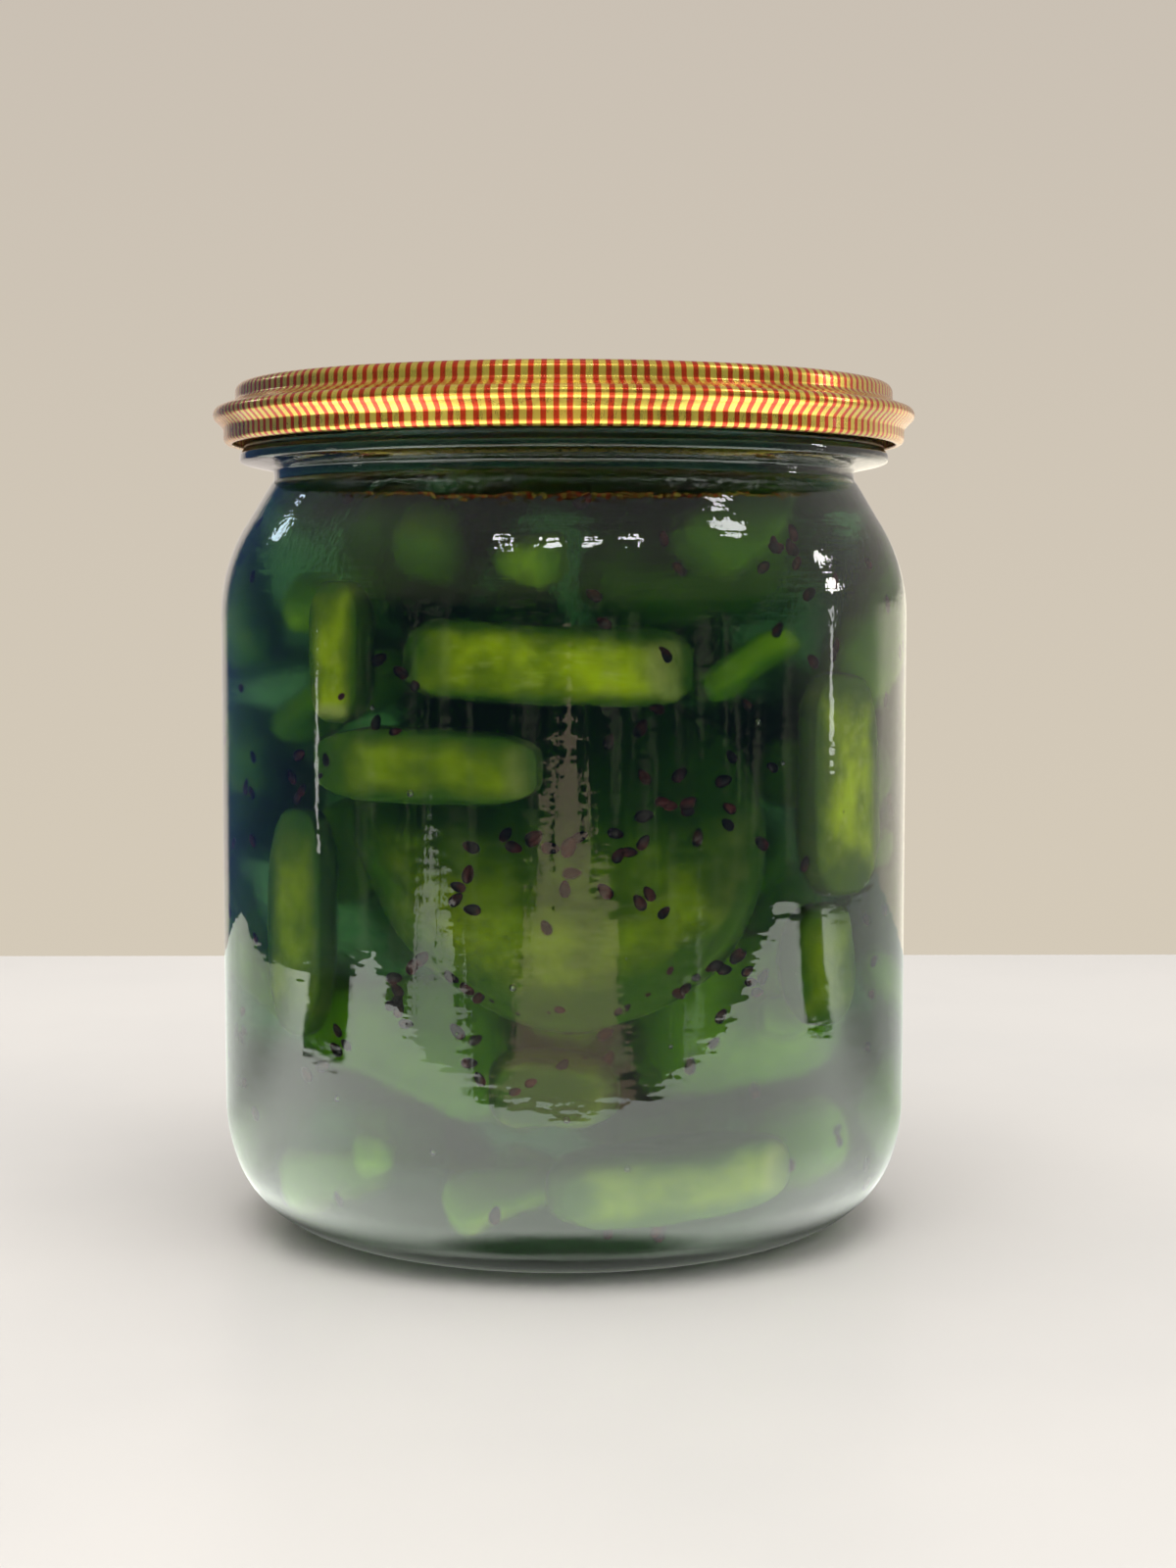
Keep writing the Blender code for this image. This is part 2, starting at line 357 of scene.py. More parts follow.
below_neck = ranged(waviness, height, 88 * MM, 94 * MM, 1.0, 0.0)
in_range = product(waviness, on_shoulder, below_neck)
ripples = product(waviness, ripples, in_range, given.outputs["Ripples"])
grain_size = math_of(waviness, "MULTIPLY_ADD", on_shoulder, 0.9, 0.16)
height = math_of(waviness, "MULTIPLY_ADD", streaks, given.outputs["Streaks"], ripples)
height = math_of(waviness, "MULTIPLY_ADD", ragged, 0.85, height)
height = math_of(waviness, "MULTIPLY_ADD", grains, grain_size, height)
waviness.links.new(height, put_out.inputs["Height"])
smears = ranged(waviness, noise_of(waviness, place, 60.0, 4.0), 0.5, 0.75)
waviness.links.new(smears, put_out.inputs["Smears"])


def clear_glass(name, mirrors):
    """Clear glass. Where jelly wets the glass, the face mirrors next to nothing."""
    made, tree, shader, place = new_material(name)
    waves = placed(tree, waviness, place)
    waves.inputs["Streaks"].default_value = 1.0
    waves.inputs["Ripples"].default_value = 1.8
    tint = mixed(tree, waves.outputs["Smears"], (0.93, 0.975, 0.945), (0.91, 0.965, 0.93))
    finish(tree, shader, tint, ranged(tree, waves.outputs["Smears"], 0.0, 1.0, 0.004, 0.03))
    shader.inputs["Transmission Weight"].default_value = 1.0
    shader.inputs["IOR"].default_value = 1.52
    if not mirrors:
        shader.inputs["Specular Tint"].default_value = (0.0, 0.0, 0.0, 1.0)
    bumped(tree, shader, waves.outputs["Height"], 1.0, 0.03 * MM)
    return made


outer_profile = drawn_out(glass_outside(), LONGEST_RUN)
inner_profile = drawn_out(inside(0.0), LONGEST_RUN)
glass = turned(
    "jar_of_clear_glass",
    outer_profile + inner_profile,
    (clear_glass("clear_glass_air_side", True), clear_glass("clear_glass_jelly_side", False)),
    lambda run: 0 if run < len(outer_profile) else 1,
)
for vertex in glass.data.vertices:
    point = vertex.co
    radius = math.hypot(point.x, point.y)
    if 6 * MM < point.z < 92 * MM and radius > 38 * MM:
        around = Vector((point.x * 95, point.y * 95, point.z * 16))
        swell = WALL_SWELL * noise.noise(around) + FINE_SWELL * noise.noise(around * 2.4)
        point.x *= 1 + swell / radius
        point.y *= 1 + swell / radius
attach(glass, "root")
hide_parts("jar_glass")


# Fruit against the glass: slabs, wedges and one round slice of soft green fruit, cut by hand and
# set in the jelly. Where a piece meets the wall it lies flat against it. The flesh is moist and
# lets some light in, and its cut ends are paler. Each piece also carries painted shade: its flesh
# is darkened towards its rim, and towards a shade tone by a shade amount of its own.
FRUIT_ROUNDING_SHARE = 0.34
UNEVENNESS = 0.035
FRUIT_SIDES = 84
CLEAR_OF_GLASS = 0.28 * MM
# Name, size in mm, squareness, centre in mm, turn in degrees, and painted shade: how far the piece's
# flesh is darkened towards the shade tone
FRUIT = (
    ("fruit_slab_top", (31, 18, 9), 3.0, (-2.0, -32.3, 72.6), (0, 2, -3), 0.0),
    ("fruit_slab_left", (16, 9, 7), 3.0, (-25.0, -29.8, 74.0), (0, 90, -40), 0.2),
    ("fruit_slab_middle", (27, 8, 9), 3.5, (-15.5, -35.2, 60.8), (0, 2, -18), 0.5),
    ("fruit_slice_round", (44, 47, 7), 2.0, (0.0, -27.5, 51.0), (54, 0, 0), 0.25),
    ("fruit_wedge_right", (14, 26, 7), 3.0, (31.5, -23.0, 58.0), (90, 0, 54), 0.05),
    ("fruit_wedge_right_low", (11, 14, 7), 2.6, (29.0, -26.1, 36.5), (84, 0, 48), 0.65),
    ("fruit_wedge_left_low", (10, 27, 7), 3.0, (-30.0, -25.2, 41.5), (90, 0, -50), 0.6),
    ("fruit_chunk_low", (14, 12, 8), 2.6, (-1.5, -36.6, 23.4), (6, 0, -3), 0.65),
    ("fruit_slab_base", (27, 14, 8), 2.8, (12.0, -33.0, 12.4), (4, -3, 19), 0.55),
)
bore_line = sorted((height, radius) for radius, height in inside(0.0)[:-1])
bore_heights = numpy.array([height for height, radius in bore_line])
bore_radii = numpy.array([radius for height, radius in bore_line])


def kept_inside(points, clearance):
    """Points moved inwards, where need be, so that they stay clear of the glass."""
    radius = numpy.hypot(points[:, 0], points[:, 1])
    limit = numpy.interp(points[:, 2], bore_heights, bore_radii) - clearance
    shrink = numpy.minimum(1.0, limit / numpy.maximum(radius, 1e-9))
    points[:, 0] *= shrink
    points[:, 1] *= shrink
    points[:, 2] = numpy.maximum(points[:, 2], BASE_THICKNESS + clearance)
    return points


def fruit_points(size, power, phase, sides, uneven, taper):
    """Rings of a rounded slice with an uneven outline that may taper towards one end."""
    length, depth, thickness = size
    half = 0.5 * thickness
    rounding = FRUIT_ROUNDING_SHARE * thickness
    inset = 2 * rounding / min(length, depth)
    flat = 1 - inset
    section = [(share * flat, -half) for share in (0.25, 0.5, 0.75)]
    for degrees in range(-90, 1, 15):
        turn = radians(degrees)
        section.append((1 - inset * (1 - math.cos(turn)), -half + rounding * (1 + math.sin(turn))))
    section += [(share, -height) for share, height in reversed(section)]
    rings = []
    for share, height in section:
        ring = []
        for side in range(sides):
            angle = math.tau * side / sides
            across = math.copysign(abs(math.cos(angle)) ** (2 / power), math.cos(angle))
            along = math.copysign(abs(math.sin(angle)) ** (2 / power), math.sin(angle))
            swell = 1 + uneven * (math.sin(2 * angle + phase) + 0.6 * math.sin(3 * angle + 2 * phase))
            thin = 1 - abs(taper) * (0.5 + math.copysign(0.5, taper) * across)
            out = swell * share
            level = height * (0.4 + 0.6 * thin)
            ring.append((0.5 * length * across * out, 0.5 * depth * along * out * thin, level))
        rings.append(ring)
    return rings


# Blender draws the offsets of its noise vectors from the clock unless they are given a seed.
noise.seed_set(5)


def fruit_body(size, power, phase, place, clearance, shade, sides, uneven, taper):
    """Vertices, faces and flesh marks of one piece of fruit, set in its place."""
    rings = fruit_points(size, power, phase, sides, uneven, taper)
    half = 0.5 * size[2]
    local = [(0.0, 0.0, -half)] + [point for ring in rings for point in ring] + [(0.0, 0.0, half)]
    vertices = []
    marks = []
    for point in local:
        here = Vector(point)
        grain = Vector((here.x * 150, here.y * 150, here.z * 150)) + Vector((phase * 7.3, 0, 0))
        here += (0.35 + 8 * uneven) * MM * noise.noise_vector(grain * 0.6)
        here += 0.30 * MM * noise.noise_vector(grain * 1.5)
        here += 0.08 * MM * noise.noise_vector(grain * 5.1)
        vertices.append(place @ here)
        end = 0.5 + point[0] / size[0]
        along, across, through = (2 * value / extent for value, extent in zip(point, size))
        # How near the rim a point is, for painted shade: a slab darkens towards its ends and flat
        # faces, the round slice over its upper half, a chunk towards its edges
        if size[0] > 1.5 * size[1]:
            rim = max(along**2 if along < 0 else 0.8 * along**3, abs(through))
        elif min(size[0], size[1]) > 5 * size[2]:
            rim = max(math.hypot(along, across) ** 3, 0.75 + across)
        else:
            rim = max(abs(along), abs(across)) ** 1.5
        marks.append((min(1.0, max(0.0, end)), shade, min(1.0, max(0.0, rim))))
    faces = []
    count = len(rings)
    for side in range(sides):
        after = (side + 1) % sides
        faces.append((0, 1 + after, 1 + side))
        for ring in range(count - 1):
            low = 1 + ring * sides
            high = low + sides
            faces.append((low + side, low + after, high + after, high + side))
        last = 1 + (count - 1) * sides
        faces.append((last + side, last + after, len(local) - 1))
    points = kept_inside(numpy.array(vertices), clearance)
    return points, faces, marks


def place_of(centre, degrees):
    """Where a piece of fruit lies, from its centre in metres and its turn in degrees."""
    turn = Euler([radians(value) for value in degrees]).to_matrix().to_4x4()
    return Matrix.Translation(Vector(centre)) @ turn


def mark_flesh(piece, marks):
    """Keeps where each point is from end to end, how much painted shade darkens its piece, and how
    near the rim it is, for painted shade towards the rim.
    """
    layer = piece.data.color_attributes.new("flesh_marks", "FLOAT_COLOR", "POINT")
    values = numpy.ones((len(marks), 4))
    values[:, :3] = marks
    layer.data.foreach_set("color", values.ravel())


# Fine fibres, soft mottling and paler cut ends of fruit flesh, with painted shade towards the rim and
# painted shade by each piece's own shade amount
flesh_look, given, put_out = new_group(
    "fruit_flesh_look",
    [
        ("Place", "NodeSocketVector"),
        ("Marks", "NodeSocketColor"),
        ("Ripe", "NodeSocketColor"),
        ("Pale", "NodeSocketColor"),
        ("Deep", "NodeSocketColor"),
        ("Shade tone", "NodeSocketColor"),
    ],
    [("Colour", "NodeSocketColor"), ("Height", "NodeSocketFloat")],
)
place = given.outputs["Place"]
marks = flesh_look.nodes.new("ShaderNodeSeparateColor")
flesh_look.links.new(given.outputs["Marks"], marks.inputs[0])
mottling = ranged(flesh_look, noise_of(flesh_look, place, 150.0, 3.0), 0.30, 0.72, 0.0, 0.75)
fibres = noise_of(flesh_look, place, 900.0, 3.0, 0.6, (0.25, 1, 1))
tone = mixed(flesh_look, mottling, given.outputs["Ripe"], given.outputs["Deep"])
end_mask = ranged(flesh_look, marks.outputs["Red"], 0.84, 0.95, 0.0, 0.8)
tone = mixed(flesh_look, end_mask, tone, given.outputs["Pale"])
fibre_mask = ranged(flesh_look, fibres, 0.52, 0.72, 0.0, 0.25)
tone = mixed(flesh_look, fibre_mask, tone, given.outputs["Pale"])
# Painted shade: the flesh is darkened to the deep tone towards the rim, with a patchy edge
patchy = noise_of(flesh_look, place, 260.0, 3.0, 0.55)
rim = math_of(flesh_look, "SUBTRACT", marks.outputs["Blue"], 0.27)
rim = math_of(flesh_look, "MULTIPLY_ADD", patchy, 0.55, rim)
painted_rim_shade = ranged(flesh_look, rim, 0.15, 0.95, 0.0, 0.96)
tone = mixed(flesh_look, painted_rim_shade, tone, given.outputs["Deep"])
# Painted shade: the whole piece is darkened towards the shade tone by its shade amount
tone = mixed(flesh_look, marks.outputs["Green"], tone, given.outputs["Shade tone"])
flesh_look.links.new(tone, put_out.inputs["Colour"])
flesh_look.links.new(fibres, put_out.inputs["Height"])


def fruit_flesh(name, ripe, pale, deep, sunk, light_in):
    """Moist flesh that lets light in to a few millimetres."""
    made, tree, shader, place = new_material(name)
    look = placed(tree, flesh_look, place)
    marks = tree.nodes.new("ShaderNodeVertexColor")
    marks.layer_name = "flesh_marks"
    tree.links.new(marks.outputs["Color"], look.inputs["Marks"])
    # The sunk colour is the painted shade tone that a piece's shade amount darkens it towards
    for label, tone in (("Ripe", ripe), ("Pale", pale), ("Deep", deep), ("Shade tone", sunk)):
        look.inputs[label].default_value = (*tone, 1.0)
    rough = ranged(tree, look.outputs["Height"], 0.3, 0.7, 0.25, 0.5)
    finish(tree, shader, look.outputs["Colour"], rough)
    shader.inputs["Subsurface Weight"].default_value = light_in
    shader.inputs["Subsurface Radius"].default_value = (0.7, 1.0, 0.25)
    shader.inputs["Subsurface Scale"].default_value = 3.0 * MM
    shader.inputs["IOR"].default_value = 1.38
    shader.inputs["Specular IOR Level"].default_value = 0.05
    bumped(tree, shader, look.outputs["Height"], 0.5, 0.15 * MM)
    return made


near_flesh = fruit_flesh(
    "ripe_green_flesh",
    ripe=(0.72, 0.88, 0.003),
    pale=(0.95, 0.92, 0.30),
    deep=(0.05, 0.13, 0.006),
    sunk=(0.04, 0.11, 0.015),
    light_in=0.25,
)
near_fruit = []
for index, (name, size, power, centre, degrees, shade) in enumerate(FRUIT):
    place = place_of([value * MM for value in centre], degrees)
    size_m = [value * MM for value in size]
    near_fruit.append((size_m, power, place))
    points, faces, marks = fruit_body(
        size_m, power, index, place, CLEAR_OF_GLASS, shade, FRUIT_SIDES, UNEVENNESS, 0.0
    )
    piece = link_mesh(name + "_flesh", points, faces, (near_flesh,))
    mark_flesh(piece, marks)
    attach(piece, "root")
    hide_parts(name)


# Fruit sunk in the jelly: more slabs, chunks and slices of the same fruit, packed loosely all
# through the jar, clear of the glass and of the fruit against it. A piece may press a little
# into its neighbour.
SUNK_TRIES = 9000
SUNK_GAP = 0.6 * MM
SUNK_REACH = 37.0 * MM
SUNK_OFF_GLASS = 0.9 * MM
SUNK_CLEAR = 0.8 * MM
SUNK_IN_FRONT = 4.2 * MM
SUNK_TOP = 99.5 * MM
SUNK_SIDES = 40
SUNK_UNEVENNESS = 0.10
TEST_POINTS = 90
TEST_DRAW = 5
# Slabs, slices and chunks: up to which draw, ranges of the three sizes in mm, and squareness
SUNK_KINDS = (
    (0.50, (20, 30), (10, 15), (7, 9), 3.0),
    (0.75, (26, 36), (24, 34), (6, 8), 2.1),
    (1.00, (11, 16), (10, 14), (8, 11), 2.6),
)
SUNK_FIRST = (
    ((50, 42, 9), 2.3, (0, 1, 94), (4, 0, 10)),
    ((32, 24, 7), 2.2, (-16, -19, 84), (62, 0, -30)),
    ((26, 22, 7), 2.3, (16, -20, 84), (66, 0, 32)),
    ((30, 26, 7), 2.3, (24, -17, 74), (76, 0, 52)),
    ((30, 22, 8), 2.4, (-2, -17, 63), (70, 0, 0)),
    ((24, 22, 7), 2.4, (17, -17, 30), (80, 0, 40)),
    ((24, 22, 7), 2.4, (-15, -18, 27), (80, 0, -35)),
)
packing = random.Random(41)


def local_points(size):
    """Test points on and in a piece of fruit, in its own frame."""
    spread = numpy.random.default_rng(TEST_DRAW)
    points = spread.uniform(-1, 1, (TEST_POINTS, 3))
    on_faces = slice(None, TEST_POINTS // 2)
    on_edge = slice(TEST_POINTS // 3, None)
    points[on_faces, 2] = numpy.sign(points[on_faces, 2])
    turn = numpy.arctan2(points[on_edge, 1], points[on_edge, 0])
    points[on_edge, 0] = numpy.cos(turn)
    points[on_edge, 1] = numpy.sin(turn)
    return points * (numpy.array(size) / 2)


def covers(piece, points):
    """Which of the points lie in a piece of fruit or in the gap round it."""
    size, power, inverse = piece
    local = points @ inverse[:3, :3].T + inverse[:3, 3]
    half = numpy.array(size) / 2 + SUNK_GAP
    flat = numpy.abs(local[:, :2] / half[:2]) ** power
    return (flat.sum(axis=1) < 1.0) & (numpy.abs(local[:, 2]) < half[2])


def world_points(size, place):
    """The test points of a piece of fruit in its place."""
    matrix = numpy.array(place)
    return local_points(size) @ matrix[:3, :3].T + matrix[:3, 3]


set_pieces = []
for size, power, place in near_fruit:
    solid = (size, power, numpy.array(place.inverted()))
    set_pieces.append((solid, world_points(size, place)))
sunk = []
for attempt in range(SUNK_TRIES):
    if attempt < len(SUNK_FIRST):
        size, power, centre, degrees = SUNK_FIRST[attempt]
        size = [value * MM for value in size]
        centre = [value * MM for value in centre]
    else:
        shrink = 1.15 - 0.75 * attempt / SUNK_TRIES
        kind = packing.random()
        *spans, power = next(row[1:] for row in SUNK_KINDS if kind < row[0])
        size = [packing.uniform(*span) * shrink * MM for span in spans]
        bearing = packing.uniform(0, math.tau)
        distance = SUNK_REACH * math.sqrt(packing.random())
        level = packing.uniform(10, 97) * MM
        centre = (distance * math.cos(bearing), distance * math.sin(bearing), level)
        aslant = math.degrees(bearing) + packing.uniform(60, 120)
        degrees = (packing.uniform(-90, 90), packing.uniform(-35, 35), aslant)
    place = place_of(centre, degrees)
    tests = world_points(size, place)
    radius = numpy.hypot(tests[:, 0], tests[:, 1])
    inset = SUNK_OFF_GLASS + numpy.where(tests[:, 1] < -8 * MM, SUNK_IN_FRONT, 0.0)
    limit = numpy.interp(tests[:, 2], bore_heights, bore_radii) - inset
    heights = tests[:, 2]
    if (radius > limit).any() or heights.min() < BASE_THICKNESS + MM or heights.max() > SUNK_TOP:
        continue
    solid = (size, power, numpy.array(place.inverted()))
    if any(covers(other, tests).any() or covers(solid, there).any() for other, there in set_pieces):
        continue
    set_pieces.append((solid, tests))
    sunk.append((size, power, place))
all_points = []
all_faces = []
all_marks = []
for index, (size, power, place) in enumerate(sunk):
    # Painted shade, different from piece to piece: how far each piece is darkened towards the shade
    # tone
    shade = (index * 0.37) % 0.6
    taper = 0.55 * math.sin(5.1 * index)
    points, faces, marks = fruit_body(
        size, power, index + 20, place, SUNK_CLEAR, shade, SUNK_SIDES, SUNK_UNEVENNESS, taper
    )
    shift = len(all_points)
    all_points += points.tolist()
    all_faces += [tuple(corner + shift for corner in face) for face in faces]
    all_marks += marks
sunk_flesh = fruit_flesh(
    "sunk_green_flesh",
    ripe=(0.60, 0.82, 0.015),
    pale=(0.72, 0.85, 0.12),
    deep=(0.21, 0.40, 0.01),
    sunk=(0.15, 0.30, 0.012),
    light_in=0.0,
)
sunk_fruit = link_mesh("fruit_sunk_in_jelly", all_points, all_faces, (sunk_flesh,))
mark_flesh(sunk_fruit, all_marks)
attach(sunk_fruit, "root")


# Seeds: small hard ovals, nearly black with a purple or brown cast, washed out of the fruit. Most
# lie in rows along the edge of a slice or drift in loose groups close to the glass.
SEED_SIZE = (2.1 * MM, 1.6 * MM, 0.9 * MM)
SEEDS_BEHIND = 170
SEEDS_DEEP = 50
scatter = random.Random(7)
seed_points = []
seed_faces = []


def ball(subdivisions, radius):
    """Points and faces of a round ball."""
    shape = bmesh.new()
    bmesh.ops.create_icosphere(shape, subdivisions=subdivisions, radius=radius)
    points = [vertex.co.copy() for vertex in shape.verts]
    faces = [tuple(vertex.index for vertex in face.verts) for face in shape.faces]
    shape.free()
    return points, faces


oval_points, oval_faces = ball(2, 0.5)


def add_seed(bearing_deg, height, depth, turn_deg):
    """A seed at a bearing from the front, a height, and a depth in from the glass."""
    bearing = radians(bearing_deg)
    wall = float(numpy.interp(height, bore_heights, bore_radii))
    radius = wall - depth
    outward = Vector((math.sin(bearing), -math.cos(bearing), 0.0))
    sideways = Vector((math.cos(bearing), math.sin(bearing), 0.0))
    turn = radians(turn_deg)
    along = sideways * math.cos(turn) + Vector((0, 0, 1)) * math.sin(turn)
    across = outward.cross(along)
    centre = outward * radius + Vector((0, 0, height))
    scale = scatter.uniform(0.85, 1.12)
    shift = len(seed_points)
    for point in oval_points:
        taper = 1.0 - 0.35 * (point.x + 0.5)
        seed_points.append(
            centre
            + along * (point.x * SEED_SIZE[0] * scale)
            + across * (point.y * SEED_SIZE[1] * scale * taper)
            + outward * (point.z * SEED_SIZE[2] * scale * taper)
        )
    seed_faces.extend(tuple(corner + shift for corner in face) for face in oval_faces)


# Rows and groups: bearing in degrees and height in mm, spread of both, how they lie, how many
SEED_GROUPS = (
    (0.0, 33.0, 19.0, 0.8, "smile", 15),
    (26.0, 38.5, 8.0, 1.2, "arch", 12),
    (14.0, 55.5, 7.5, 3.2, "rise", 10),
    (-3.0, 52.5, 7.0, 1.0, "level", 8),
    (-15.0, 48.0, 4.0, 4.5, "loose", 5),
    (38.0, 85.5, 6.0, 2.0, "loose", 8),
    (46.0, 78.0, 4.0, 6.0, "loose", 5),
    (3.5, 91.0, 3.0, 1.0, "loose", 2),
    (33.0, 57.0, 8.0, 6.0, "loose", 6),
    (-45.0, 62.0, 5.0, 6.0, "loose", 6),
    (-30.0, 66.0, 9.0, 6.0, "loose", 5),
    (-26.0, 34.0, 3.0, 5.0, "loose", 8),
    (-40.0, 27.0, 3.0, 3.0, "loose", 4),
    (12.0, 46.0, 12.0, 2.0, "loose", 5),
    (-8.0, 24.0, 12.0, 3.0, "loose", 6),
    (0.0, 8.5, 18.0, 2.0, "loose", 3),
)
for bearing, height, spread, rise, lie, count in SEED_GROUPS:
    for step in range(count):
        t = 2 * (step + 0.5) / count - 1
        if lie == "loose":
            b = bearing + spread * scatter.uniform(-1, 1)
            z = height + rise * scatter.uniform(-1, 1)
            add_seed(b, z * MM, scatter.uniform(0.45, 0.7) * MM, scatter.uniform(0, 180))
            continue
        lift = {"smile": 5.0 * t * t, "arch": -4.0 * t * t, "rise": 3.0 * t, "level": 0.0}[lie]
        b = bearing + spread * t + scatter.uniform(-1, 1)
        z = height + lift + rise * scatter.uniform(-1, 1)
        add_seed(b, z * MM, scatter.uniform(0.45, 0.7) * MM, scatter.uniform(-40, 60))
for step in range(SEEDS_BEHIND):
    b = scatter.uniform(62, 298)
    add_seed(b, scatter.uniform(8, 92) * MM, scatter.uniform(0.6, 2.5) * MM, scatter.uniform(0, 180))
for step in range(SEEDS_DEEP):
    b = scatter.uniform(-60, 60)
    add_seed(b, scatter.uniform(8, 92) * MM, scatter.uniform(1.5, 5.0) * MM, scatter.uniform(0, 180))

seed_coat, tree, shader, place = new_material("dark_seed_coat")
patches = ranged(tree, noise_of(tree, place, 420.0, 2.0), 0.42, 0.62)
tone = mixed(tree, patches, (0.010, 0.004, 0.008), (0.060, 0.010, 0.010))
pits = noise_of(tree, place, 3500.0, 2.0)
finish(tree, shader, tone, ranged(tree, pits, 0.3, 0.7, 0.3, 0.5))
shader.inputs["Specular IOR Level"].default_value = 0.08
bumped(tree, shader, pits, 0.6, 0.06 * MM)
seeds = link_mesh("fruit_seeds", seed_points, seed_faces, (seed_coat,))
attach(seeds, "root")


# Jelly: clear dark green set jelly, poured hot round the fruit and filled into the neck. It wets
# the glass all over, so its skin reaches just into the wall and no air shows between them.
FILL_HEIGHT = 101.2 * MM
INTO_WALL = 0.2 * MM
jelly_profile = [(0.0, FILL_HEIGHT), (BORE_RADIUS + INTO_WALL, FILL_HEIGHT)] + inside(-INTO_WALL)
jelly_clear, tree, shader, place = new_material("clear_green_jelly")
haze = ranged(tree, noise_of(tree, place, 45.0, 3.0), 0.35, 0.7)
tone = mixed(tree, haze, (1.0, 1.0, 1.0), (0.93, 0.97, 0.92))
# Painted shade: the jelly's surface tint darkens in the neck, where the lid shades it
neck_painted_shade = ranged(tree, split(tree, place)["Z"], 87.5 * MM, 91.5 * MM)
tone = mixed(tree, neck_painted_shade, tone, (0.27, 0.35, 0.47))
finish(tree, shader, tone, ranged(tree, haze, 0.0, 1.0, 0.20, 0.265))
shader.inputs["Transmission Weight"].default_value = 1.0
shader.inputs["IOR"].default_value = 1.42
shader.inputs["Specular Tint"].default_value = (0.0, 0.0, 0.0, 1.0)
swallows = tree.nodes.new("ShaderNodeVolumeAbsorption")
swallows.inputs["Color"].default_value = (0.33, 0.56, 0.35, 1.0)
swallows.inputs["Density"].default_value = 75.0
tree.links.new(swallows.outputs[0], tree.nodes["Material Output"].inputs["Volume"])
jelly = turned("green_jelly", drawn_out(jelly_profile, 3 * MM), (jelly_clear,), sides=192)
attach(jelly, "root")
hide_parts("jam")


# Air bubbles: a few tiny seeds of air, as makers call them, caught in the wall when the glass was
# pressed. Each is a round hollow in the glass.
bubble_draw = random.Random(19)
BUBBLES_ALL_ROUND = 26
FRONT_BUBBLES = (
    (-20.5, 16.5),
    (9.5, 15.0),
    (-38.0, 21.5),
    (-7.8, 36.0),
    (0.3, 20.8),
    (-24.0, 58.0),
    (31.0, 66.0),
)
bubble_points = []
bubble_faces = []
ball_points, ball_faces = ball(3, 1.0)
bubble_places = [(bearing, height, 0.42) for bearing, height in FRONT_BUBBLES]
for step in range(BUBBLES_ALL_ROUND):
    bearing = bubble_draw.uniform(0, 360)
    bubble_places.append((bearing, bubble_draw.uniform(16, 78), bubble_draw.uniform(0.12, 0.34)))
for bearing_deg, height, size in bubble_places:
    bearing = radians(bearing_deg)
    centre = Vector((math.sin(bearing), -math.cos(bearing), 0.0)) * (BODY_RADIUS - 0.9 * MM)
    centre.z = height * MM
    shift = len(bubble_points)
    bubble_points += [centre + point * size * MM for point in ball_points]
    bubble_faces += [tuple(corner + shift for corner in face) for face in ball_faces]
bubble_air, tree, shader, place = new_material("air_in_glass")
clouding = ranged(tree, noise_of(tree, place, 900.0, 2.0), 0.3, 0.7)
tone = mixed(tree, clouding, (1.0, 1.0, 1.0), (0.94, 0.96, 0.95))
finish(tree, shader, tone, ranged(tree, clouding, 0.0, 1.0, 0.02, 0.08))
shader.inputs["Transmission Weight"].default_value = 1.0
shader.inputs["IOR"].default_value = 0.66
bubbles = link_mesh("air_bubbles_in_glass", bubble_points, bubble_faces, (bubble_air,))
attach(bubbles, "root")


# Lid: one pressing of thin sheet metal with a gold lacquer and fine upright red stripes printed
# all round. It has a recessed top, a flat band, a bead and a skirt whose edge is turned in, and
# it is pressed on so that it grips the flange.
SHEET = 0.5 * MM
LID_TOP = 107.25 * MM
PANEL_DEPTH = 0.7 * MM
PANEL_RADIUS = 36.5 * MM
PANEL_SLOPE_WIDTH = 1.2 * MM
BAND_RADIUS = 42.0 * MM
BAND_CORNER_RADIUS = 1.1 * MM
LEDGE_HEIGHT = 104.9 * MM
LEDGE_FILLET = 0.35 * MM
BEAD_RADIUS = 44.8 * MM
BEAD_NOSE_RADIUS = 1.0 * MM
BEAD_HEIGHT = 103.3 * MM
SKIRT_RADIUS = 43.5 * MM
SKIRT_TOP = 101.6 * MM
SKIRT_BOTTOM = 100.4 * MM
EDGE_CURL_RADIUS = 0.8 * MM
STRIPES = 180
RED_SHARE = 0.45


def offset(profile, distance):
    """The same profile moved sideways, to the right of its run, by a distance."""
    moved = []
    for index, point in enumerate(profile):
        before = Vector(profile[max(index - 1, 0)])
        after = Vector(profile[min(index + 1, len(profile) - 1)])
        here = Vector(point)
        runs = [run.normalized() for run in (here - before, after - here) if run.length > 0]
        normals = [Vector((run.y, -run.x)) for run in runs]
        mean = sum(normals, Vector((0, 0))).normalized()
        moved.append(tuple(here + mean * distance / max(mean.dot(normals[0]), 0.5)))
    return moved


